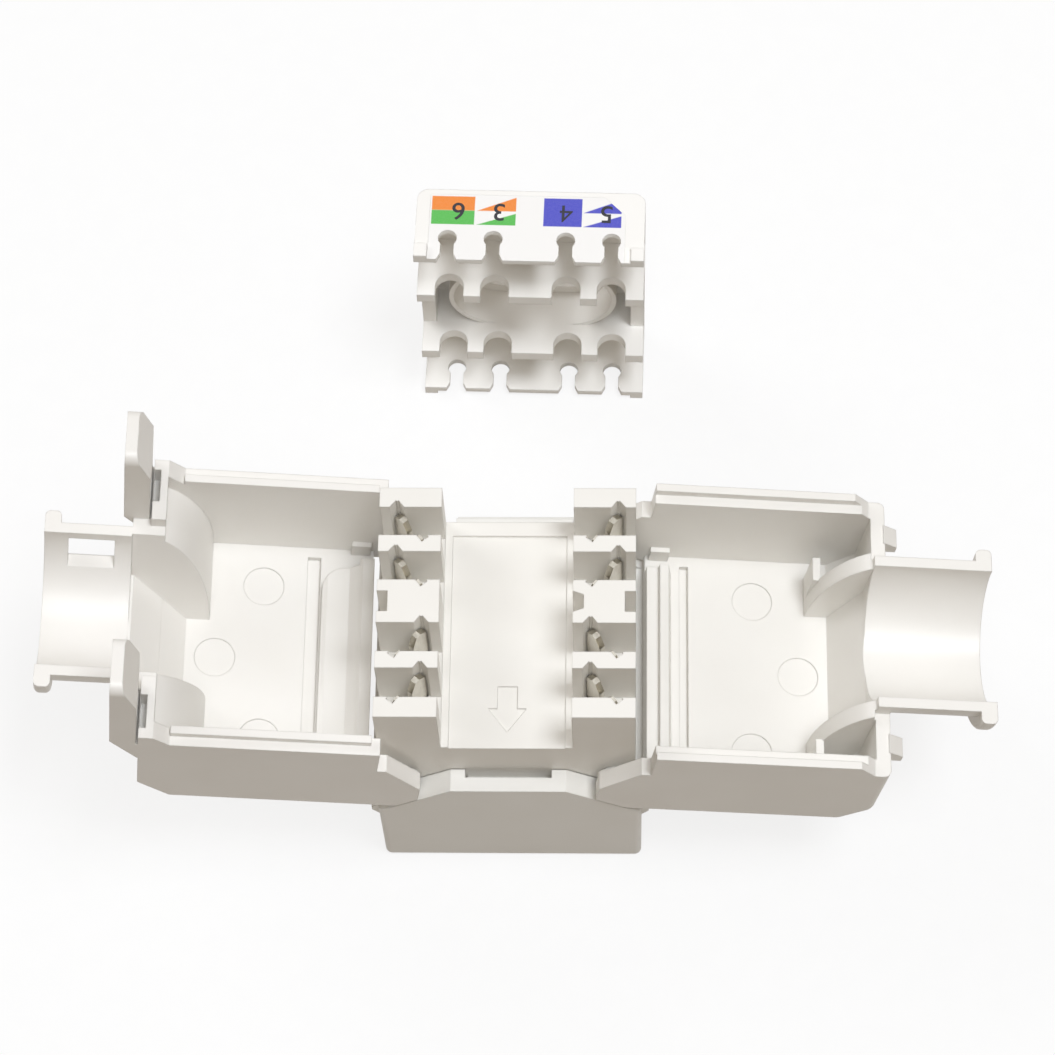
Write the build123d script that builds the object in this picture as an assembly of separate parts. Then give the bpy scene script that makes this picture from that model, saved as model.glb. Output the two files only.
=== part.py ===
from build123d import *
import os
from math import atan, cos, degrees, radians, sin

# Keystone jack for twisted-pair cable, opened out, in millimetres.
# It stands on its port face: +Z is the way the cable leaves, the port opens
# towards -Z, and the origin is the centre of the port face. The two covers
# hinge about axes along Y and are laid open to the left (-X) and right (+X).
# The wire manager, a cap that has been taken off, stands behind (+Y).

# port block
port_width = 14.8
port_height = 16.2
shoulder_z = 7.4
shoulder_lip = 0.4
ledge_z = 10.7
ledge_half = 3.2
edge_round = 0.4
face_chamfer = 0.3

# plug cavity
plug_width = 11.8
plug_height = 6.9
plug_top = 5.0
cavity_depth = 10.0
tab_wide = 6.4
tab_wide_drop = 1.5
tab_narrow = 3.4
tab_narrow_drop = 1.2

# terminal block
block_width = 14.1
block_length = 13.5
block_gap = 0.05
platform_z = 14.0
tower_z = 18.6
column_gap = 7.24
hollow_length = 10.7
recess_depth = 0.75
recess_length = 12.6
slot_width = 1.68
slot_floor = 14.3
slot_inner = 2.1
slot_outer = 4.75

# contacts, board and carrier
blade_width = 2.65
blade_thick = 0.35
blade_top = 17.5
blade_foot = 13.9
blade_angle = 38
blade_slit = 0.4
blade_slit_depth = 2.9
tail_width = 0.6
tail_shift = 0.95
tail_clear = 0.06
board_bottom = 11.5
board_thick = 1.0
board_room = 0.2
board_width = 10.9
board_length = 10.5
contact_pitch = 1.02
contact_wire = 0.4
contacts = 8
carrier_thick = 1.35
comb_slot = 0.56

# covers
hinge_x = 5.9
hinge_z = 10.5
part_gap = 0.05
closed_half = 8.6
cover_half = 8.2
cover_wall = 1.0
cover_floor = 0.8
cover_start = 1.6
cover_end = 14.6
end_wall = 0.8
end_step = 0.9
end_step_start = 12.9
end_chamfer_u = 2.5
end_chamfer_w = 2.6
ramp_run = 1.4
ramp_rise = 1.8
bottom_round = 0.9
left_raise = 7.5
right_raise = -7.0
lug_nose = 0.95
lug_reach = 1.25
lug_shelf = 2.45
pin_radius = 0.55
pin_clear = 0.05
pin_depth = 0.85
boss_radius = 0.95
boss_thick = 0.25
lip_height = 0.4
lip_thick = 0.45
lip_clear = 0.1
retainer_start = 2.1
retainer_half = 6.1
retainer_height = 1.45

# cable collar
bore_radius = 3.9
collar_wall = 0.6
collar_end = 20.4
flange_rise = 0.7
flange_thick = 0.9
flange_round = 0.3
neck_length = 1.0
gusset_reach = 4.0
window_length = 2.55
window_drop = 1.85

# ears and snap tabs
ear_thick = 1.4
ear_height = 7.4
ear_inner = 5.0
ear_clear = 0.12
ear_round = 0.65
ear_corner = 0.05
tab_inner = 5.7
tab_length = 1.1
tab_proud = 0.75
tab_height = 0.6
tab_below_rim = 1.5
tab_room = 0.2

# wire manager
manager_width = 13.3
manager_depth = 4.8
manager_fit = 0.07
plate_thick = 0.4
foot_rise = 0.28
foot_length = 0.9
foot_width = 0.75
comb_thick = 0.75
manager_back = 0.9
tunnel_length = 9.4
tunnel_depth = 2.1
tunnel_wall = 0.3
tunnel_lip = 0.45
tunnel_step = 0.65
keyhole_radius = 0.55
keyhole_neck = 0.8
keyhole_reach = 1.45
comb_slot_wide = 1.68
comb_slot_deep = 1.5
manager_x = 0.8
manager_y = 26.9
manager_turn = -1.5
label_thick = 0.1

os.makedirs("parts", exist_ok=True)


def block(x0, x1, y0, y1, z0, z1):
    """A box between two opposite corners."""
    middle = ((x0 + x1) / 2, (y0 + y1) / 2, (z0 + z1) / 2)
    return Pos(*middle) * Box(x1 - x0, y1 - y0, z1 - z0)


def slab_y(points, y0, y1):
    """An outline of (x, z) points, drawn out along Y from y0 to y1."""
    face = Plane.XZ * make_face(Polyline(*points, close=True))
    return Pos(0, y1, 0) * extrude(face, y1 - y0)


def rod_y(x, z, radius, y0, y1):
    """A round rod along Y."""
    return Pos(x, (y0 + y1) / 2, z) * Rot(90, 0, 0) * Cylinder(radius, abs(y1 - y0))


def rod_x(y, z, radius, x0, x1):
    """A round rod along X."""
    return Pos((x0 + x1) / 2, y, z) * Rot(0, 90, 0) * Cylinder(radius, abs(x1 - x0))


def save(shape, name):
    shape.label = name
    export_step(shape, f"parts/{name}.step")


# Shared places that several pieces are cut to.
port_x = port_width / 2
port_y = port_height / 2
block_x = block_width / 2
block_y = block_length / 2
column_in = column_gap / 2
column_mid = (block_x + column_in) / 2
hollow_y = hollow_length / 2
pocket_y = block_y + block_gap
slot_places = [-slot_outer, -slot_inner, slot_inner, slot_outer]
plate_under = board_bottom + board_thick + board_room
shoulder_slope = (ledge_z - shoulder_z) / (port_x - ledge_half)


def blade_places():
    """Centre, turn and tail offset of each terminal blade, left column first."""
    for side in (-1, 1):
        for y in slot_places:
            end = -1 if y > 0 else 1
            yield side * column_mid, y, side * end * blade_angle, end * tail_shift


def contact_places():
    """X of each port contact across the plug."""
    for i in range(contacts):
        yield (i - (contacts - 1) / 2) * contact_pitch


# Port housing: one moulding with the plug cavity, the two ledged side walls
# that the terminal block drops between, and the springy panel latch.
nose_half = 2.3
nose_deep = 0.42
nose_z = 8.4
nose_high = 1.0
window_room = 0.1
latch_half = 3.4
latch_root_z = 1.2
latch_root = 1.6
latch_slot = 1.0
latch_arm = 0.9
latch_top = 7.3
latch_catch_z = 5.1
latch_catch = 0.9


def port_housing():
    body = block(-port_x, port_x, -port_y, port_y, 0, shoulder_z)
    wall = [
        (-port_x, shoulder_z),
        (-ledge_half, ledge_z),
        (ledge_half, ledge_z),
        (port_x, shoulder_z),
    ]
    body += slab_y(wall, -port_y, -pocket_y) + slab_y(wall, pocket_y, port_y)
    corners = body.edges().filter_by(Axis.Z).filter_by(lambda e: e.length > shoulder_z - 1)
    body = fillet(corners, edge_round)
    body = chamfer(body.faces().sort_by(Axis.Z)[0].outer_wire().edges(), face_chamfer)
    plug_low = plug_top - plug_height
    body -= block(-plug_width / 2, plug_width / 2, plug_low, plug_top, -1, shoulder_z + 1)
    tab_low = plug_low - tab_wide_drop
    body -= block(-tab_wide / 2, tab_wide / 2, tab_low, plug_low, -1, shoulder_z + 1)
    narrow_low = tab_low - tab_narrow_drop
    body -= block(-tab_narrow / 2, tab_narrow / 2, narrow_low, tab_low, -1, shoulder_z + 1)
    for side in (-1, 1):
        lip = [
            (side * (port_x - 0.1), shoulder_z),
            (side * port_x, shoulder_z),
            (side * (port_x + shoulder_lip), shoulder_z - shoulder_lip * shoulder_slope),
            (side * (port_x + shoulder_lip), shoulder_z - 2 * shoulder_lip),
            (side * port_x, shoulder_z - 3.5 * shoulder_lip),
            (side * (port_x - 0.1), shoulder_z - 3.5 * shoulder_lip),
        ]
        body += slab_y(lip, edge_round - port_y, port_y - edge_round)
        near, far = sorted((side * (pocket_y - 0.2), side * (block_y + nose_deep + window_room)))
        half = nose_half + window_room
        body -= block(-half, half, near, far, nose_z - window_room, ledge_z + 1)
    arm_in = port_y + latch_slot
    arm_out = arm_in + latch_arm
    root_top = latch_root_z + latch_root
    arm = [
        (port_y - 0.3, latch_root_z),
        (arm_out - 0.5, latch_root_z),
        (arm_out, latch_root_z + 0.8),
        (arm_out, latch_catch_z - 1.5),
        (arm_out + latch_catch, latch_catch_z),
        (arm_out + latch_catch, latch_catch_z + 0.4),
        (arm_out, latch_catch_z + 0.4),
        (arm_out, latch_top),
        (arm_in, latch_top),
        (arm_in, root_top + 0.3),
        (arm_in - 0.3, root_top),
        (port_y - 0.3, root_top),
    ]
    face = Plane.YZ * make_face(Polyline(*arm, close=True))
    body += Pos(-latch_half, 0, 0) * extrude(face, 2 * latch_half)
    return body


# Terminal block: platform with two rows of slotted towers, hollow below for
# the circuit board, with blind hinge holes in its two end faces.
groove_deep = 0.6
groove_long = 1.2
panel_deep = 0.15
panel_half = 3.2
panel_border = 0.85
notch_deep = 0.42
notch_half = 0.36
nick_half = 0.22
nick_deep = 0.16
arrow_deep = 0.1
arrow_stem = 0.55
arrow_half = 1.05
arrow_y = -4.4


def terminal_block():
    low = shoulder_z + block_gap
    body = block(-block_x, block_x, -block_y, block_y, low, platform_z)
    for side in (-1, 1):
        x0, x1 = sorted((side * column_in, side * block_x))
        body += block(x0, x1, -block_y, block_y, platform_z, tower_z)
    half_plug = plug_width / 2 + block_gap
    body -= block(-half_plug, half_plug, -hollow_y, hollow_y, low - 1, cavity_depth)
    half_board = board_width / 2 + block_gap
    body -= block(-half_board, half_board, -hollow_y, hollow_y, low, plate_under)
    for side in (-1, 1):
        x0, x1 = sorted((side * (block_x - recess_depth), side * (block_x + 1)))
        long = recess_length / 2
        body -= block(x0, x1, -long, long, hinge_z + 0.6, platform_z - 0.15)
        for y in slot_places:
            x0, x1 = sorted((side * (column_in - 1), side * (block_x + 1)))
            half = slot_width / 2
            body -= block(x0, x1, y - half, y + half, slot_floor, tower_z + 1)
        x0, x1 = sorted((side * (block_x - groove_deep), side * (block_x + 1)))
        body -= block(x0, x1, -groove_long / 2, groove_long / 2, platform_z, tower_z + 1)
        for end in (-1, 1):
            y0, y1 = sorted((end * (block_y - pin_depth - 0.1), end * (block_y + 1)))
            body -= rod_y(side * hinge_x, hinge_z, pin_radius + pin_clear, y0, y1)
    # the right row has a splayed groove on the side towards the platform
    splay = [
        (column_in - 0.1, -0.65),
        (column_in + groove_deep, -0.4),
        (column_in + groove_deep, 0.4),
        (column_in - 0.1, 0.65),
    ]
    groove = Plane.XY * make_face(Polyline(*splay, close=True))
    body -= Pos(0, 0, platform_z) * extrude(groove, tower_z - platform_z + 1)
    for x, y, turn, shift in blade_places():
        body -= blade_pocket(x, y, turn, shift)
    deep = platform_z - panel_deep
    body -= block(-panel_half, panel_half, -block_y - 1, block_y - panel_border, deep, platform_z + 1)
    stem = block(-arrow_stem, arrow_stem, arrow_y, arrow_y + 1.3, deep - arrow_deep, deep + 1)
    point = [(-arrow_half, arrow_y), (arrow_half, arrow_y), (0, arrow_y - 1.4)]
    head = Plane.XY * make_face(Polyline(*point, close=True))
    body -= stem + Pos(0, 0, deep - arrow_deep) * extrude(head, 1)
    for end in (-1, 1):
        nose = [
            (end * (block_y - 0.2), nose_z + nose_high),
            (end * (block_y + nose_deep), nose_z + nose_high),
            (end * block_y, nose_z),
            (end * (block_y - 0.2), nose_z),
        ]
        face = Plane.YZ * make_face(Polyline(*nose, close=True))
        body += Pos(-nose_half, 0, 0) * extrude(face, 2 * nose_half)
    return body


def blade_pocket(x, y, turn, shift):
    """Slanting slot for one blade, with the notch and nick it passes in the walls."""
    wide = blade_width + 2 * tail_clear
    thick = blade_thick + 2 * tail_clear
    slot = block(-thick / 2, thick / 2, -wide / 2, wide / 2, blade_foot - tail_clear, tower_z + 1)
    tail = tail_width + 2 * tail_clear
    slot += block(-thick / 2, thick / 2, shift - tail / 2, shift + tail / 2, plate_under - 1, tower_z)
    reach = blade_width / 2 * sin(radians(turn))
    edge = slot_width / 2 - 0.02
    notch = [(-reach - notch_half, edge), (-reach, edge + notch_deep), (-reach + notch_half, edge)]
    nick = [(reach - nick_half, -edge), (reach, -edge - nick_deep), (reach + nick_half, -edge)]
    cuts = Rot(0, 0, turn) * slot
    for corner in (notch, nick):
        face = Plane.XY * make_face(Polyline(*corner, close=True))
        cuts += Pos(0, 0, slot_floor) * extrude(face, tower_z - slot_floor + 1)
    return Pos(x, y, 0) * cuts


# Terminal blade: a flat fork that cuts through the wire's jacket, with one
# tail through the board.
def terminal_blade(shift):
    half = blade_width / 2
    slit = blade_slit / 2
    slit_low = blade_top - blade_slit_depth
    tail = tail_width / 2
    outline = [
        (-half, blade_foot),
        (-half, blade_top - 0.5),
        (-half + 0.45, blade_top),
        (-slit - 0.35, blade_top),
        (-slit, blade_top - 0.8),
        (-slit, slit_low),
        (slit, slit_low),
        (slit, blade_top - 0.8),
        (slit + 0.35, blade_top),
        (half - 0.45, blade_top),
        (half, blade_top - 0.5),
        (half, blade_foot),
        (shift + tail, blade_foot),
        (shift + tail, board_bottom),
        (shift - tail, board_bottom),
        (shift - tail, blade_foot),
    ]
    face = Plane.YZ * make_face(Polyline(*outline, close=True))
    return Pos(-blade_thick / 2, 0, 0) * extrude(face, blade_thick)


# Circuit board between the blades and the port contacts.
contact_hole_y = 4.4


def circuit_board():
    top = board_bottom + board_thick
    half_x = board_width / 2
    half_y = board_length / 2
    body = block(-half_x, half_x, -half_y, half_y, board_bottom, top)
    hole = tail_width / 2 + 0.12
    for x, y, turn, shift in blade_places():
        tail = Rot(0, 0, turn) * Pos(0, shift, 0) * Cylinder(hole, board_thick + 1)
        body -= Pos(x, y, board_bottom + board_thick / 2) * tail
    for i, x in enumerate(contact_places()):
        y = contact_hole_y - contact_stagger * (i % 2)
        hole = contact_wire / 2 + 0.1
        body -= Pos(x, y, board_bottom + board_thick / 2) * Cylinder(hole, board_thick + 1)
    return body


# Port contact: a sprung wire from the board, forward into the cavity.
contact_stagger = 1.3
contact_tip_y = 2.6
contact_tip_z = 3.4
contact_bend_z = 8.6


def port_contact(i):
    """One contact; every second one leaves the board a step nearer the cavity."""
    y = contact_hole_y - contact_stagger * (i % 2)
    top = board_bottom + board_thick + 0.1
    run = board_bottom - 0.05 - carrier_thick / 2
    points = [(y, top)]
    bends = []
    if i % 2:
        points += [(y, run), (contact_hole_y, run)]
        bends += [0.4, 0.4]
    points += [(contact_hole_y, contact_bend_z), (contact_tip_y, contact_tip_z)]
    points.append((contact_tip_y + 0.7, contact_tip_z - 0.8))
    bends += [0.8, 0.4]
    strip = Plane.YZ * trace(FilletPolyline(*points, radius=bends), contact_wire)
    x = list(contact_places())[i] - contact_wire / 2
    return Pos(x, 0, 0) * extrude(strip, contact_wire)


# Contact carrier: plate under the board with a comb that keeps the contacts apart.
comb_half = 4.5
comb_inner = 3.7
comb_low = 7.6


def contact_carrier():
    top = board_bottom - 0.05
    half_x = board_width / 2 - 0.05
    body = block(-half_x, half_x, -hollow_y + 0.1, hollow_y - 0.1, top - carrier_thick, top)
    body += block(-comb_half, comb_half, comb_inner, hollow_y - 0.1, comb_low, top - carrier_thick)
    for x in contact_places():
        half = comb_slot / 2
        body -= block(x - half, x + half, comb_inner - 2.6, contact_hole_y + half, comb_low - 1, top + 1)
    return body


# Covers, drawn with the hinge axis at the origin, u outwards along X and w up,
# as they lie when opened square. Each is a half shell with two hinge lugs,
# half of the cable collar and the saddle that leads the cable into it.
rim_w = hinge_x - part_gap
bottom_w = hinge_x - closed_half
floor_w = bottom_w + cover_floor
inner_y = cover_half - cover_wall
end_in = cover_end - end_wall
axis_w = hinge_x
collar_out = bore_radius + collar_wall


def lug_outline(raise_angle):
    """Outline of a cover's side, whose lug meets the shoulder open and closed."""
    slope = atan(shoulder_slope)
    low = slope + radians(raise_angle)
    high = radians(90) - slope
    shelf_w = rim_w - lug_shelf
    low_at_nose = -(lug_reach - lug_nose * sin(low)) / cos(low)
    high_at_nose = (lug_reach - lug_nose * sin(high)) / cos(high)
    low_meets_bottom = (-bottom_w * cos(low) - lug_reach) / sin(low)
    high_meets_shelf = (shelf_w * cos(high) - lug_reach) / sin(high)
    return [
        (cover_start, rim_w),
        (cover_end, rim_w),
        (cover_end, bottom_w + end_chamfer_w),
        (cover_end - end_chamfer_u, bottom_w),
        (low_meets_bottom, bottom_w),
        (-lug_nose, low_at_nose),
        (-lug_nose, high_at_nose),
        (high_meets_shelf, shelf_w),
        (cover_start, shelf_w),
    ]


def cover_shell(raise_angle, corner_round):
    body = slab_y(lug_outline(raise_angle), -cover_half, cover_half)
    low_edges = body.edges().group_by(Axis.Z)[0].filter_by(Axis.X)
    body = fillet(low_edges, bottom_round)
    ends = body.edges().filter_by(Axis.Z).group_by(Axis.X)[-1]
    body = fillet(ends, corner_round)
    hollow = [
        (cover_start - 9, rim_w + 2),
        (end_in, rim_w + 2),
        (end_in, floor_w + ramp_rise),
        (end_in - ramp_run, floor_w),
        (cover_start - 9, floor_w),
    ]
    body -= slab_y(hollow, -inner_y, inner_y)
    start = retainer_start - 0.2
    body -= block(-lug_nose - 1, start, -inner_y, inner_y, bottom_w - 1, rim_w)
    for end in (-1, 1):
        y0, y1 = sorted((end * (inner_y - boss_thick), end * inner_y))
        body += rod_y(0, 0, boss_radius, y0, y1)
        y0, y1 = sorted((end * (block_y - pin_depth), end * inner_y))
        body += rod_y(0, 0, pin_radius, y0, y1)
    return body


def half_collar():
    """The lower half of the cable collar, solid, with its rounded end flange."""
    tube = rod_x(0, axis_w, collar_out, end_in, collar_end)
    flange = rod_x(0, axis_w, collar_out + flange_rise, collar_end - flange_thick, collar_end)
    tube += fillet(flange.edges().filter_by(GeomType.CIRCLE), flange_round)
    lower = block(0, collar_end + 1, -cover_half, cover_half, bottom_w - 5, rim_w)
    return tube & lower


def cheeks(thick, lean):
    """A curved rib each side of the saddle; lean is how far its foot comes in."""
    curve_u = cover_end + 0.5
    high = rim_w - 0.1 - floor_w
    oval = Plane.XZ * Pos(curve_u, floor_w) * Ellipse(gusset_reach, high)
    quarter = block(curve_u - gusset_reach - 1, end_in + 0.1, -20, 20, floor_w - 0.1, rim_w)
    both = None
    for end in (-1, 1):
        y0, y1 = sorted((end * (bore_radius - lean), end * (bore_radius + thick)))
        rib = (Pos(0, y1, 0) * extrude(oval, y1 - y0)) & quarter
        if lean:
            slope = [
                (end * (bore_radius - lean - 0.1), floor_w - 1),
                (end * (bore_radius - lean), floor_w),
                (end * (bore_radius + 0.15), rim_w),
                (end * (bore_radius - lean - 0.1), rim_w + 1),
            ]
            face = Plane.YZ * make_face(Polyline(*slope, close=True))
            rib -= extrude(face, collar_end)
        both = rib if both is None else both + rib
    return both


marks = [(8.1, 4.65), (10.7, 0.15), (8.0, -4.6)]
corner_clear = 0.15
mark_radius = 1.15
mark_deep = 0.08


def cover_floor_details(body, groove_u, groove_wide):
    """Corner blocks, groove and ejector marks of the floor."""
    top = floor_w + retainer_height
    for end in (-1, 1):
        y0, y1 = sorted((end * (block_y + corner_clear), end * (inner_y + 0.1)))
        body += block(retainer_start, retainer_start + 1.1, y0, y1, floor_w - 0.1, top - 0.2)
    body -= block(groove_u, groove_u + groove_wide, -6.6, 6.6, floor_w - 0.4, floor_w + 0.01)
    for u, y in marks:
        body -= Pos(u, y, floor_w) * Cylinder(mark_radius, 2 * mark_deep)
    return body


def placed(shape, side, raise_angle):
    """Turns a cover to its open rest and carries it to its hinge."""
    turned = Rot(0, -raise_angle, 0) * shape
    if side < 0:
        turned = mirror(turned, about=Plane.YZ)
    return Pos(side * hinge_x, 0, hinge_z) * turned


# Left cover: tongued rim, sloping press pad, ears that reach past the rim.
pad_reach = 4.8
pad_rise = 0.55
pad_corner = 1.3
pad_low = 6.2
pad_high = 5.8
slit_length = 1.9
cheek_lean = 1.5
neck_wall = 0.15
slit_wide = 0.36
slit_deep = 0.5


def left_cover():
    body = cover_shell(left_raise, ear_corner)
    top = floor_w + retainer_height
    rib = [
        (retainer_start - 0.2, floor_w - 0.1),
        (retainer_start - 0.2, top),
        (retainer_start + 0.45, top),
        (retainer_start + 0.6, top - 0.25),
        (retainer_start + 0.6, floor_w - 0.1),
    ]
    body += slab_y(rib, -retainer_half, retainer_half)
    slope = [
        (retainer_start, floor_w - 0.1),
        (retainer_start, top - 0.25),
        (retainer_start + 0.6, top - 0.25),
        (retainer_start + 1.15, floor_w + pad_rise + 0.1),
        (pad_reach - 0.3, floor_w + pad_rise),
        (pad_reach, floor_w + pad_rise - 0.15),
        (pad_reach, floor_w - 0.1),
    ]
    pad = block(retainer_start, pad_reach, -pad_low, pad_high, floor_w - 1, top + 1)
    corner = pad.edges().filter_by(Axis.Z).group_by(Axis.X)[-1]
    body += slab_y(slope, -pad_low, pad_high) & fillet(corner, pad_corner)
    body = cover_floor_details(body, pad_reach + 0.1, 0.75)
    body += end_step_prism(0)
    neck_end = cover_end + neck_length
    neck = [
        (end_in, rim_w),
        (neck_end, rim_w),
        (neck_end, axis_w - collar_out - 0.3),
        (cover_end, bottom_w + end_chamfer_w),
        (end_in, bottom_w + end_chamfer_w),
    ]
    body += slab_y(neck, -ear_inner - 0.1, ear_inner + 0.1)
    body += half_collar()
    body += cheeks(inner_y - bore_radius + 0.1, cheek_lean)
    body -= rod_x(0, axis_w, bore_radius, neck_end - 0.1, collar_end + 1)
    throat_end = neck_end - neck_wall
    throat = [
        (-bore_radius - 0.15, rim_w + 1),
        (-bore_radius - 0.15, rim_w),
        (-bore_radius + cheek_lean, floor_w),
        (bore_radius - cheek_lean, floor_w),
        (bore_radius + 0.15, rim_w),
        (bore_radius + 0.15, rim_w + 1),
    ]
    face = Plane.YZ * make_face(Polyline(*throat, close=True))
    under_ramp = [
        (end_in - 0.1, floor_w + ramp_rise - 0.1),
        (throat_end, axis_w - bore_radius),
        (neck_end, axis_w - bore_radius),
        (neck_end, rim_w + 1),
        (end_in - 0.1, rim_w + 1),
    ]
    ramp = slab_y(under_ramp, -cover_half, cover_half)
    body -= (Pos(end_in - 1, 0, 0) * extrude(face, neck_end - end_in + 1)) & ramp
    for end in (-1, 1):
        y0, y1 = sorted((end * inner_y, end * (inner_y + lip_thick)))
        body += block(cover_start + 0.5, end_step_start, y0, y1, rim_w - 0.1, rim_w + lip_height)
        body += ear(end)
        y0, y1 = sorted((end * tab_inner, end * (tab_inner + slit_length)))
        outer = cover_end - 0.02
        body -= block(outer - slit_wide, outer, y0, y1, rim_w - slit_deep, rim_w + 2)
    start = collar_end - flange_thick - 0.4 - window_length
    body -= block(start, start + window_length, bore_radius - 1.6, bore_radius + 2,
                  rim_w - 0.6 - window_drop, rim_w - 0.6)
    return body


def end_step_prism(room):
    """The raised end of the left cover's rim; with room, the cut that takes it."""
    start = end_step_start - room
    points = [
        (start, rim_w - 0.2),
        (start, rim_w),
        (start + end_step, rim_w + end_step + room),
        (cover_end + room, rim_w + end_step + room),
        (cover_end + room, rim_w - 0.2),
    ]
    prism = slab_y(points, -cover_half - room, cover_half + room)
    gap = collar_out + 0.1 - room
    prism -= block(0, collar_end, -gap, gap, rim_w - 1, rim_w + 3)
    return prism - block(0, end_in - room, -inner_y + room, inner_y - room, rim_w - 1, rim_w + 3)


def ear(end):
    """Ear on the end wall: a slab with a window for the other cover's snap tab."""
    inside = cover_end + ear_clear
    outside = inside + ear_thick
    base = rim_w - part_gap
    outline = [
        (cover_end - 0.1, base - 2.1),
        (cover_end + 0.05, base - 2.1),
        (outside, base + 0.2),
        (outside, base + ear_height),
        (inside + 0.75, base + ear_height),
        (inside, base + ear_height - 2.2),
        (inside, base),
        (cover_end - 0.1, base),
    ]
    y0, y1 = sorted((end * ear_inner, end * cover_half))
    slab = slab_y(outline, y0, y1)
    tips = slab.edges().filter_by(Axis.X).group_by(Axis.Z)[-1]
    slab = fillet(tips, ear_round)
    y0, y1 = sorted((end * (tab_inner - tab_room), end * (tab_inner + tab_length + tab_room)))
    low = rim_w + 2 * part_gap + tab_below_rim - tab_height - tab_room
    high = rim_w + 2 * part_gap + tab_below_rim + tab_height + tab_room
    slab -= block(inside - 0.1, outside - 0.35, y0, y1, low, high)
    return slab


# Right cover: rabbeted rim, thin cheeks beside the saddle, snap tabs outside.
post_length = 1.3
post_thick = 0.45


def right_cover():
    body = cover_shell(right_raise, edge_round)
    top = floor_w + retainer_height
    rib = [
        (retainer_start - 0.2, floor_w - 0.1),
        (retainer_start - 0.2, top - 0.5),
        (retainer_start + 0.5, top - 0.5),
        (retainer_start + 0.5, top),
        (retainer_start + 1.0, top),
        (retainer_start + 1.3, floor_w),
        (retainer_start + 1.3, floor_w - 0.1),
    ]
    body += slab_y(rib, -retainer_half, retainer_half)
    body = cover_floor_details(body, retainer_start + 1.8, 0.5)
    body += half_collar()
    ramp = [
        (end_in + 0.1, floor_w - 0.1),
        (end_in - ramp_run, floor_w - 0.1),
        (end_in - ramp_run, floor_w),
        (end_in, axis_w - bore_radius + 0.2),
        (end_in + 0.1, axis_w - bore_radius + 0.2),
    ]
    body += slab_y(ramp, -bore_radius - 0.1, bore_radius + 0.1)
    body += cheeks(cover_wall, 0)
    body -= rod_x(0, axis_w, bore_radius, end_in - 4, collar_end + 1)
    body -= turned_over(end_step_prism(lip_clear))
    for end in (-1, 1):
        y0, y1 = sorted((end * (inner_y - 1), end * (inner_y + lip_thick + lip_clear)))
        body -= block(cover_start - 1, end_in, y0, y1, rim_w - lip_height - lip_clear, rim_w + 1)
        y0, y1 = sorted((end * (bore_radius + cover_wall - 0.1), end * (bore_radius + cover_wall + post_length)))
        post = cover_end + 0.5 - gusset_reach
        body += block(post, post + post_thick, y0, y1, floor_w - 0.1, floor_w + 3.2)
        y0, y1 = sorted((end * tab_inner, end * (tab_inner + tab_length)))
        hook = [
            (cover_end - 0.1, rim_w - tab_below_rim - tab_height),
            (cover_end + tab_proud, rim_w - tab_below_rim - tab_height),
            (cover_end + tab_proud, rim_w - tab_below_rim),
            (cover_end - 0.1, rim_w - tab_below_rim + tab_height),
        ]
        body += slab_y(hook, y0, y1)
    return body


def turned_over(shape):
    """What faces a shape of the left cover's rim, in the right cover's own frame."""
    return mirror(shape, about=Plane(origin=(0, 0, rim_w), z_dir=(0, 0, 1)))


# Wire manager: two outer plates with keyholes and two inner combs, on a back
# wall with the cable tunnel. Drawn centred: x along the slots, z across the
# plates, and the comb tips at y = 0 facing -Y.
manager_out = block_x + manager_fit + plate_thick
manager_cheek = column_in - manager_fit
manager_lean = atan(foot_rise / (manager_depth - foot_length))
manager_stand = manager_depth * sin(manager_lean) + manager_out * cos(manager_lean)
keyholes = slot_places
recess_wall = 0.8


def wire_manager():
    half = manager_width / 2
    body = block(-half, half, 0, manager_depth, -manager_out, manager_out)
    upright = body.edges().filter_by(Axis.Z).group_by(Axis.Y)[-1]
    body = fillet(upright, 0.7)
    row_out = manager_out - plate_thick
    back = manager_depth - manager_back
    for side in (-1, 1):
        z0, z1 = sorted((side * manager_cheek, side * row_out))
        body -= block(-half - 1, half + 1, -1, back, z0, z1)
    mouth = manager_cheek - comb_thick
    body -= block(-half - 1, half + 1, -1, tunnel_depth, -mouth, mouth)
    hollow = Plane.XZ * SlotOverall(tunnel_length, 2 * mouth)
    body -= Pos(0, manager_depth - tunnel_lip, 0) * extrude(hollow, manager_depth)
    hole = Plane.XZ * SlotOverall(tunnel_length - 2 * tunnel_step, 2 * (mouth - tunnel_step))
    body -= Pos(0, manager_depth + 1, 0) * extrude(hole, 2)
    around = Plane.XZ * SlotOverall(tunnel_length + 2 * tunnel_wall, 2 * (mouth + tunnel_wall))
    kept = Pos(0, manager_depth + 1, 0) * extrude(around, manager_depth + 2)
    for side in (-1, 1):
        x0, x1 = sorted((side * 2.5, side * (half - recess_wall)))
        deep = block(x0, x1, tunnel_depth - 0.1, manager_depth - 0.4, -mouth, mouth)
        body -= deep - kept
        z0, z1 = sorted((side * (mouth - 1), side * (manager_cheek + 0.1)))
        for x in keyholes:
            body -= comb_notch(x, comb_slot_wide, comb_slot_deep, z0, z1)
        z0, z1 = sorted((side * (row_out - 0.1), side * (manager_out + 1)))
        for x in keyholes:
            body -= keyhole(x, z0, z1)
    body -= label_field(1) + label_field(-1)
    for side in (-1, 1):
        z0, z1 = sorted((side * (manager_out - 0.1), side * (manager_out + foot_rise)))
        for end in (-1, 1):
            x0, x1 = sorted((end * (half - foot_width), end * half))
            body += block(x0, x1, 0, foot_length, z0, z1)
    return body


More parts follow.
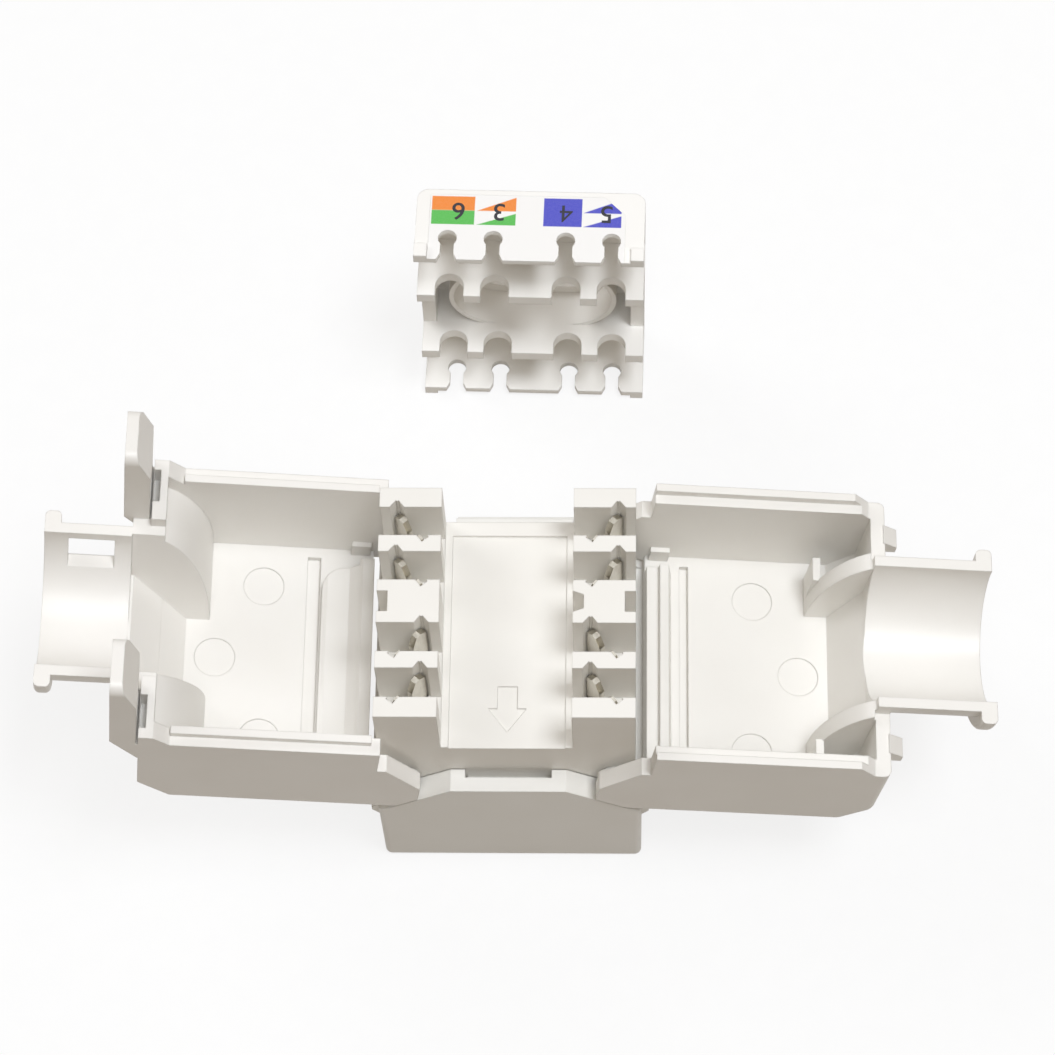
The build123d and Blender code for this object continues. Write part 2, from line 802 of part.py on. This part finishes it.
def comb_notch(x, wide, deep, z0, z1):
    """A round-ended notch that opens at the comb tips."""
    half = wide / 2
    cut = block(x - half, x + half, -1, deep - half, z0, z1)
    return cut + Pos(x, deep - half, (z0 + z1) / 2) * Cylinder(half, z1 - z0)


def keyhole(x, z0, z1):
    """A keyhole that opens at the plate's tip, with a flared mouth."""
    neck = keyhole_neck / 2
    cut = block(x - neck, x + neck, -1, keyhole_reach, z0, z1)
    cut += Pos(x, keyhole_reach, (z0 + z1) / 2) * Cylinder(keyhole_radius, z1 - z0)
    flare = [(x - neck - 0.25, -0.1), (x - neck, 0.4), (x + neck, 0.4), (x + neck + 0.25, -0.1)]
    face = Plane.XY * make_face(Polyline(*flare, close=True))
    return cut + Pos(0, 0, z0) * extrude(face, z1 - z0)


label_left = 5.85
label_right = 5.5
label_back = 4.45
label_cut = 1.2


def label_field(side):
    """The sticker on one outer plate, one upper corner cut off."""
    points = [
        (-label_left, 0),
        (label_right, 0),
        (label_right, label_back - label_cut),
        (label_right - label_cut, label_back),
        (-label_left, label_back),
    ]
    face = Plane.XY * make_face(Polyline(*points, close=True))
    z0 = manager_out - label_thick if side > 0 else -manager_out
    return Pos(0, 0, z0) * extrude(face, label_thick)


def label(side):
    field = label_field(side)
    for x in keyholes:
        field -= keyhole(x, -manager_out - 1, manager_out + 1)
    return field


def by_manager(shape):
    """Stands a piece of the manager behind the jack, on two feet and its back edge."""
    stood = Rot(0, 0, manager_turn) * Rot(-degrees(manager_lean), 0, 0) * shape
    return Pos(manager_x, manager_y - manager_depth, manager_stand) * stood


save(port_housing(), "port_housing")
save(terminal_block(), "terminal_block")
save(circuit_board(), "circuit_board")
save(contact_carrier(), "contact_carrier")
for number, (x, y, turn, shift) in enumerate(blade_places(), 1):
    save(Pos(x, y, 0) * Rot(0, 0, turn) * terminal_blade(shift), f"terminal_blade_{number}")
for number in range(contacts):
    save(port_contact(number), f"port_contact_{number + 1}")
save(placed(left_cover(), -1, left_raise), "left_cover")
save(placed(right_cover(), 1, right_raise), "right_cover")
save(by_manager(wire_manager()), "wire_manager")
save(by_manager(label(1)), "upper_label")
save(by_manager(label(-1)), "lower_label")
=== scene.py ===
import math
import bpy
from mathutils import Matrix, Vector


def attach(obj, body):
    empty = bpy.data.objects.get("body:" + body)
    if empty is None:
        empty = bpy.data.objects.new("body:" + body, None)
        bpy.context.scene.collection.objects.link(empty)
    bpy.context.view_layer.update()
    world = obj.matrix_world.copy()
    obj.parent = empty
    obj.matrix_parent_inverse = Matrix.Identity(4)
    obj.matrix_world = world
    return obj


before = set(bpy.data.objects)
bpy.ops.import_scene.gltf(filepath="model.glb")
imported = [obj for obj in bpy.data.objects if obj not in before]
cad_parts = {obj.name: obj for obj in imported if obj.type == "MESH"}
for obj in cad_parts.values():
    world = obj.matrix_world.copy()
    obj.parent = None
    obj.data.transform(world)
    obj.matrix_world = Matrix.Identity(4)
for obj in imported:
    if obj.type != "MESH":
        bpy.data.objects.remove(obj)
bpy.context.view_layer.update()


# Port housing. One moulding in white polycarbonate: the plug port, the ledged
# side walls that the covers open against, and the panel latch. It stands on
# its port face and carries everything else.

MM = 0.001


class Value:
    """A socket of a material. Sums on it add Math nodes."""

    def __init__(self, tree, socket=None):
        self.tree = tree
        self.socket = socket

    def node(self, kind, settings=None, inputs=None, output=0):
        """Adds a node, sets it, then feeds its sockets with values or links."""
        node = self.tree.nodes.new("ShaderNode" + kind)
        for name, setting in (settings or {}).items():
            setattr(node, name, setting)
        for name, given in (inputs or {}).items():
            if isinstance(given, Value):
                self.tree.links.new(given.socket, node.inputs[name])
            else:
                node.inputs[name].default_value = given
        return Value(self.tree, node.outputs[output])

    def math(self, operation, *others):
        return self.node("Math", {"operation": operation}, dict(enumerate((self,) + others)))

    def __add__(self, other):
        return self.math("ADD", other)

    def __sub__(self, other):
        return self.math("SUBTRACT", other)

    def __rsub__(self, other):
        return self.node("Math", {"operation": "SUBTRACT"}, {0: other, 1: self})

    def __mul__(self, other):
        return self.math("MULTIPLY", other)

    def __truediv__(self, other):
        return self.math("DIVIDE", other)

    def __abs__(self):
        return self.math("ABSOLUTE")

    __radd__ = __add__
    __rmul__ = __mul__

    def below(self, edge, soft):
        """1 where the value is under the edge, 0 above, over a soft step."""
        return self.node(
            "MapRange",
            {"interpolation_type": "SMOOTHSTEP"},
            {"Value": self, "From Min": edge + soft, "From Max": edge - soft},
        )

    def mix(self, first, second):
        """The first colour where this is 0, the second where it is 1."""
        inputs = {"Factor": self, 6: first, 7: second}
        return self.node("Mix", {"data_type": "RGBA"}, inputs, 2)


def new_material(name):
    material = bpy.data.materials.new(name)
    material.use_nodes = True
    material.node_tree.nodes.clear()
    return material, Value(material.node_tree)


def surface(value, **inputs):
    """Ends a material in a Principled shader; names have _ for spaces."""
    named = {name.replace("_", " "): given for name, given in inputs.items()}
    finish_material(value.node("BsdfPrincipled", {}, named))


def finish_material(shader, kind="Material"):
    """Links a shader to its material's or world's output."""
    output = shader.tree.nodes.new("ShaderNodeOutput" + kind)
    shader.tree.links.new(shader.socket, output.inputs["Surface"])


def noise(value, place, size_mm, detail=2.0, rough=0.5):
    """Noise whose grains are about size_mm across."""
    scale = 1 / (size_mm * MM)
    inputs = {"Vector": place, "Scale": scale, "Detail": detail, "Roughness": rough}
    return value.node("TexNoise", {}, inputs)


def dress(node_name, material):
    """Gives a CAD node its material."""
    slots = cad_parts[node_name].data.materials
    slots.clear()
    slots.append(material)


def linear(red, green, blue):
    """A colour as it is seen, 0 to 255, as the shader's own values."""
    def channel(seen):
        seen /= 255
        return seen / 12.92 if seen <= 0.04045 else ((seen + 0.055) / 1.055) ** 2.4
    return (channel(red), channel(green), channel(blue), 1.0)


def moulded_plastic(name, bright, shade, gloss, grain):
    """Moulded plastic: a faint cloud in its colour, soft sheen, fine grain."""
    edge_radius = 0.1
    grain_depth = 0.05
    sheen_span = 0.14
    material, value = new_material(name)
    place = value.node("TexCoord", {}, {}, 3)
    cloud = noise(value, place, 6.0, 3.0)
    sheen = noise(value, place, 2.2, 4.0)
    fine = noise(value, place, grain, 3.0, 0.6)
    wave = noise(value, place, 1.6, 1.0)
    height = fine * 0.35 + wave * 0.65
    rounded = value.node("Bevel", {"samples": 4}, {"Radius": edge_radius * MM})
    grained = {
        "Strength": 0.12,
        "Distance": grain_depth * MM,
        "Height": height,
        "Normal": rounded,
    }
    surface(
        value,
        Base_Color=cloud.mix(shade, bright),
        Roughness=sheen * sheen_span + (gloss - sheen_span / 2),
        Normal=value.node("Bump", {}, grained),
        IOR=1.53,
    )
    return material


housing_white = moulded_plastic(
    "housing_white", linear(240, 239, 235), linear(234, 232, 226), 0.4, 0.12
)
dress("port_housing", housing_white)


# Terminal block. White moulding that drops between the housing's walls; its
# two rows of slotted towers hold the blades. Slightly yellower and more matt
# than the housing, as a high-temperature grade is.

block_white = moulded_plastic(
    "block_white", linear(241, 239, 234), linear(233, 230, 223), 0.46, 0.1
)
dress("terminal_block", block_white)


# Circuit board, between the blades and the port contacts. Glass laminate under
# green resist, with the tracks just showing as a darker weave; held by the
# tails that are soldered through it.

def solder_resist():
    dark_green = linear(12, 62, 34)
    light_green = linear(28, 104, 58)
    weave_depth = 0.02
    weave_scale = 900.0
    material, value = new_material("solder_resist")
    place = value.node("TexCoord", {}, {}, 3)
    weave = value.node(
        "TexWave",
        {"wave_type": "BANDS", "bands_direction": "DIAGONAL"},
        {"Vector": place, "Scale": weave_scale, "Distortion": 1.5, "Detail": 2.0},
        1,
    )
    stain = noise(value, place, 2.5, 3.0)
    woven = {"Strength": 0.1, "Distance": weave_depth * MM, "Height": weave}
    surface(
        value,
        Base_Color=(weave * 0.5 + stain * 0.5).mix(dark_green, light_green),
        Roughness=stain * 0.1 + 0.28,
        Normal=value.node("Bump", {}, woven),
    )
    return material


dress("circuit_board", solder_resist())


# Contact carrier. Grey glass-filled moulding under the board that keeps the
# port contacts apart; it closes the port cavity's end.

carrier_grey = moulded_plastic(
    "carrier_grey", linear(128, 128, 126), linear(110, 110, 108), 0.5, 0.2
)
dress("contact_carrier", carrier_grey)


# Terminal blades. Stamped forks of tin-plated bronze pressed into the towers,
# dull and faintly streaked along the way they were stamped.

def plated_metal(name, bright, dull, gloss, streak_mm):
    """Plated strip: streaks stretched upwards, in patches duller than the rest."""
    streak_depth = 0.01
    material, value = new_material(name)
    place = value.node("TexCoord", {}, {}, 3)
    stretched = value.node(
        "VectorMath", {"operation": "MULTIPLY"}, {0: place, 1: (1.0, 1.0, 0.08)}
    )
    streak = noise(value, stretched, streak_mm, 3.0)
    patch = noise(value, place, 0.9, 3.0)
    scored = {"Strength": 0.15, "Distance": streak_depth * MM, "Height": streak}
    surface(
        value,
        Base_Color=(streak * 0.5 + patch * 0.5).mix(dull, bright),
        Metallic=1.0,
        Roughness=streak * 0.2 + gloss,
        Normal=value.node("Bump", {}, scored),
    )
    return material


tin = plated_metal("tin_plate", linear(226, 222, 211), linear(162, 155, 142), 0.22, 0.06)
for number in range(1, 9):
    dress(f"terminal_blade_{number}", tin)


# Port contacts. Sprung strips of gold-plated bronze from the board into the
# port, one for each way of the plug.

gold = plated_metal("gold_plate", linear(240, 202, 118), linear(214, 168, 84), 0.16, 0.05)
for number in range(1, 9):
    dress(f"port_contact_{number}", gold)


# Left cover. Half shell in the housing's white plastic with the two long ears,
# hung on its moulded pins in the terminal block's left end.

left_white = moulded_plastic(
    "left_cover_white", linear(242, 240, 236), linear(235, 232, 226), 0.38, 0.14
)
dress("left_cover", left_white)


# Right cover. The other half shell, with the snap tabs that the ears catch;
# hung the same way. Closed, the two clamp the cable in their collar.

right_white = moulded_plastic(
    "right_cover_white", linear(241, 239, 234), linear(234, 231, 225), 0.4, 0.14
)
dress("right_cover", right_white)


# Wire manager. A cap in white plastic that presses the wires on to
# the blades; its colour is set paler than the other mouldings as painted light,
# so that the shade inside it comes out lighter. It has been taken off and
# stands loose on its lower plate.

manager_white_painted_light = moulded_plastic(
    "manager_white_painted_light", linear(250, 249, 246), linear(245, 243, 238), 0.4, 0.1
)
dress("wire_manager", manager_white_painted_light)


# Labels. Printed film stickers on the manager's two plates: a colour field for
# each wire with its number, solid for the plain wire and cut aslant by white
# for the striped one.

manager_x = 0.8
manager_tips_y = 22.1
manager_stand = 7.843
foot_height = 0.28
foot_run = 3.9
manager_lean = math.atan(foot_height / foot_run)
manager_turn = math.radians(-1.5)
field_low = 2.4
field_high = 4.33
field_middle = (field_low + field_high) / 2
orange = linear(239, 134, 30)
green = linear(76, 184, 70)
blue = linear(62, 66, 192)
brown = linear(134, 84, 48)
paper = linear(246, 245, 243)
ink = linear(24, 24, 30)
worn_ink = linear(50, 50, 58)
# Start and end along the plate, pattern, far colour and near colour.
upper_fields = [
    (-5.76, -3.26, "split", orange, green),
    (-3.13, -0.86, "slants", orange, green),
    (0.75, 2.98, "plain", blue, blue),
    (3.06, 5.27, "slants", blue, blue),
]
lower_fields = [
    (-5.76, -3.26, "slants", green, orange),
    (-3.13, -0.86, "split", green, orange),
    (0.75, 2.98, "slants", brown, brown),
    (3.06, 5.27, "plain", brown, brown),
]


def printed_film(name, fields):
    """The sticker's print, in the manager's own millimetres."""
    soft = 0.02
    far_slant = 0.5
    near_slant = 0.42
    material, value = new_material(name)
    place = value.node("TexCoord", {}, {}, 3)
    moved = value.node(
        "Mapping",
        {"vector_type": "TEXTURE"},
        {
            "Vector": place,
            "Location": (manager_x * MM, manager_tips_y * MM, manager_stand * MM),
            "Rotation": (-manager_lean, 0.0, manager_turn),
            "Scale": (MM, MM, MM),
        },
    )
    along = moved.node("SeparateXYZ", {}, {0: moved}, 0)
    across = moved.node("SeparateXYZ", {}, {0: moved}, 1)
    inside_rows = across.below(field_high, soft) * (1 - across.below(field_low, soft))
    rise = (across - field_low) / (field_high - field_low)
    colour = paper
    for start, end, pattern, far, near in fields:
        middle = (start + end) / 2
        half = (end - start) / 2
        field = abs(along - middle).below(half, soft) * inside_rows
        if pattern == "plain":
            colour = field.mix(colour, far)
            continue
        low_half = rise.below(0.5, soft)
        far_part = field * (1 - low_half)
        near_part = field * low_half
        if pattern == "slants":
            run = (along - start) / (end - start)
            far_part = far_part * (rise - run * far_slant).below(0.5, soft)
            near_part = near_part * (rise - run * near_slant).below(0.0, soft)
        colour = far_part.mix(colour, far)
        colour = near_part.mix(colour, near)
    speck = noise(value, place, 0.08, 2.0)
    pitted = {"Strength": 0.06, "Distance": 0.01 * MM, "Height": speck}
    surface(
        value,
        Base_Color=(speck * 0.1).mix(colour, paper),
        Roughness=speck * 0.1 + 0.3,
        Normal=value.node("Bump", {}, pitted),
    )
    return material


def printed_ink():
    material, value = new_material("printed_ink")
    place = value.node("TexCoord", {}, {}, 3)
    speck = noise(value, place, 0.05, 2.0)
    surface(value, Base_Color=speck.mix(ink, worn_ink), Roughness=speck * 0.1 + 0.35)
    return material


dress("upper_label", printed_film("upper_film", upper_fields))
dress("lower_label", printed_film("lower_film", lower_fields))
black_ink = printed_ink()
digit_height = 1.2
type_size = digit_height * 1.38
bolder = 0.012
upper_digits = [("6", -4.2), ("3", -1.84), ("4", 2.05), ("5", 4.4)]
lower_digits = [("1", -4.2), ("2", -1.84), ("7", 2.05), ("8", 4.4)]
ink_thick = 0.008
manager_out = 7.52


def digit(name, text, x, side):
    """A printed number, upside down as the photograph shows it. The 4 keeps its
    own thickness, since a bolder one closes over."""
    curve = bpy.data.curves.new(name, "FONT")
    curve.body = text
    curve.size = type_size
    curve.offset = 0.0 if text == "4" else bolder
    curve.align_x = "CENTER"
    curve.align_y = "CENTER"
    curve.extrude = ink_thick
    text_piece = bpy.data.objects.new(name, curve)
    bpy.context.scene.collection.objects.link(text_piece)
    mesh = bpy.data.meshes.new_from_object(text_piece)
    bpy.data.objects.remove(text_piece)
    flip = Matrix.Rotation(math.pi, 4, "Z" if side > 0 else "X")
    spot = Matrix.Translation((x, field_middle, side * manager_out))
    lean = Matrix.Rotation(-manager_lean, 4, "X")
    turn = Matrix.Rotation(manager_turn, 4, "Z")
    stand = Matrix.Translation((manager_x, manager_tips_y, manager_stand))
    mesh.transform(Matrix.Scale(MM, 4) @ stand @ turn @ lean @ spot @ flip)
    piece = bpy.data.objects.new(name, mesh)
    bpy.context.scene.collection.objects.link(piece)
    mesh.materials.clear()
    mesh.materials.append(black_ink)
    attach(piece, "jack")


for text, x in upper_digits:
    digit(f"upper_number_{text}", text, x, 1)
for text, x in lower_digits:
    digit(f"lower_number_{text}", text, x, -1)


# Floor. A sheet of white paper that the jack lies on. It glows white only where
# it shows, so that it keeps the jack's shadow and throws little light back.

def ray_that_shows(value):
    """1 for a ray from the camera, off gloss or through glass, 0 for the rest."""
    camera_ray = value.node("LightPath", {}, {}, "Is Camera Ray")
    glossy_ray = value.node("LightPath", {}, {}, "Is Glossy Ray")
    clear_ray = value.node("LightPath", {}, {}, "Is Transmission Ray")
    return camera_ray.math("MAXIMUM", glossy_ray).math("MAXIMUM", clear_ray)


def paper_floor():
    dark_fibre = (0.165, 0.165, 0.165, 1.0)
    light_fibre = (0.185, 0.185, 0.185, 1.0)
    thrown_back = (0.37, 0.323, 0.26, 1.0)
    glow_strength = 0.812
    plain_white = (1.0, 1.0, 1.0, 1.0)
    material, value = new_material("paper_floor")
    place = value.node("TexCoord", {}, {}, 3)
    fibre = noise(value, place, 1.5, 3.0)
    seen = ray_that_shows(value)
    sheet = fibre.mix(dark_fibre, light_fibre)
    bounce = seen.mix(thrown_back, sheet)
    diffuse = value.node("BsdfDiffuse", {}, {"Color": bounce})
    lit = {"Color": plain_white, "Strength": seen * glow_strength}
    glow = value.node("Emission", {}, lit)
    finish_material(value.node("AddShader", {}, {0: diffuse, 1: glow}))
    return material


floor_half = 0.6
floor_mesh = bpy.data.meshes.new("floor")
corners = [
    (-floor_half, -floor_half, 0),
    (floor_half, -floor_half, 0),
    (floor_half, floor_half, 0),
    (-floor_half, floor_half, 0),
]
floor_mesh.from_pydata(corners, [], [(0, 1, 2, 3)])
floor_mesh.materials.append(paper_floor())
floor = bpy.data.objects.new("floor", floor_mesh)
bpy.context.scene.collection.objects.link(floor)


# Light. Two soft boxes high on the right and in front, so that tops are bright
# and upright faces stay shaded, and one from the back left. The sky is dim and
# warm, and plain white where it shows.

def soft_box(name, place, width, depth, power, colour):
    """An area lamp at place, in metres, that faces the origin."""
    lamp = bpy.data.lights.new(name, "AREA")
    lamp.shape = "RECTANGLE"
    lamp.size = width
    lamp.size_y = depth
    lamp.energy = power
    lamp.color = colour
    lamp_object = bpy.data.objects.new(name, lamp)
    bpy.context.scene.collection.objects.link(lamp_object)
    lamp_object.location = place
    lamp_object.rotation_euler = (-Vector(place)).to_track_quat("-Z", "Y").to_euler()


soft_box("key", (0.15, -0.03, 0.5), 0.16, 0.16, 1.34, (0.915, 0.95, 1.0))
soft_box("front", (0.06, -0.16, 0.5), 0.3, 0.2, 0.76, (0.92, 0.952, 1.0))
soft_box("fill", (-0.35, 0.25, 0.35), 0.25, 0.25, 0.87, (0.955, 0.972, 1.0))

world = bpy.data.worlds.new("studio")
bpy.context.scene.world = world
world.use_nodes = True
world.node_tree.nodes.clear()
sky = Value(world.node_tree)
warm_sky = linear(255, 234, 206)
sky_strength = 0.205
dim = sky.node("Background", {}, {"Color": warm_sky, "Strength": sky_strength})
white = sky.node("Background", {}, {"Color": (1.0, 1.0, 1.0, 1.0), "Strength": 1.0})
finish_material(sky.node("MixShader", {}, {0: ray_that_shows(sky), 1: dim, 2: white}), "World")


# Camera. A long lens from the front and well above, a little to the right,
# fitted to the photograph's edges; lengths in millimetres.

elevation = math.radians(65.84)
azimuth = math.radians(-4.05)
roll = math.radians(-3.55)
distance = 203.5
focal_pixels = 3627.6
photo_pixels = 1055
sensor_width = 36
target = Vector((0.96, 6.43, 14.0))
forward = Vector((
    math.sin(azimuth) * math.cos(elevation),
    math.cos(azimuth) * math.cos(elevation),
    -math.sin(elevation),
))
right = forward.cross(Vector((0, 0, 1))).normalized()
up = right.cross(forward)
right_rolled = math.cos(roll) * right + math.sin(roll) * up
up_rolled = math.cos(roll) * up - math.sin(roll) * right
camera_data = bpy.data.cameras.new("camera")
camera_data.sensor_width = sensor_width
camera_data.lens = sensor_width * (focal_pixels / photo_pixels)
camera_data.clip_start = 0.01
camera = bpy.data.objects.new("camera", camera_data)
bpy.context.scene.collection.objects.link(camera)
turn = Matrix((right_rolled, up_rolled, -forward)).transposed().to_4x4()
camera.matrix_world = Matrix.Translation((target - forward * distance) * MM) @ turn
bpy.context.scene.camera = camera
bpy.context.scene.view_settings.view_transform = "Standard"
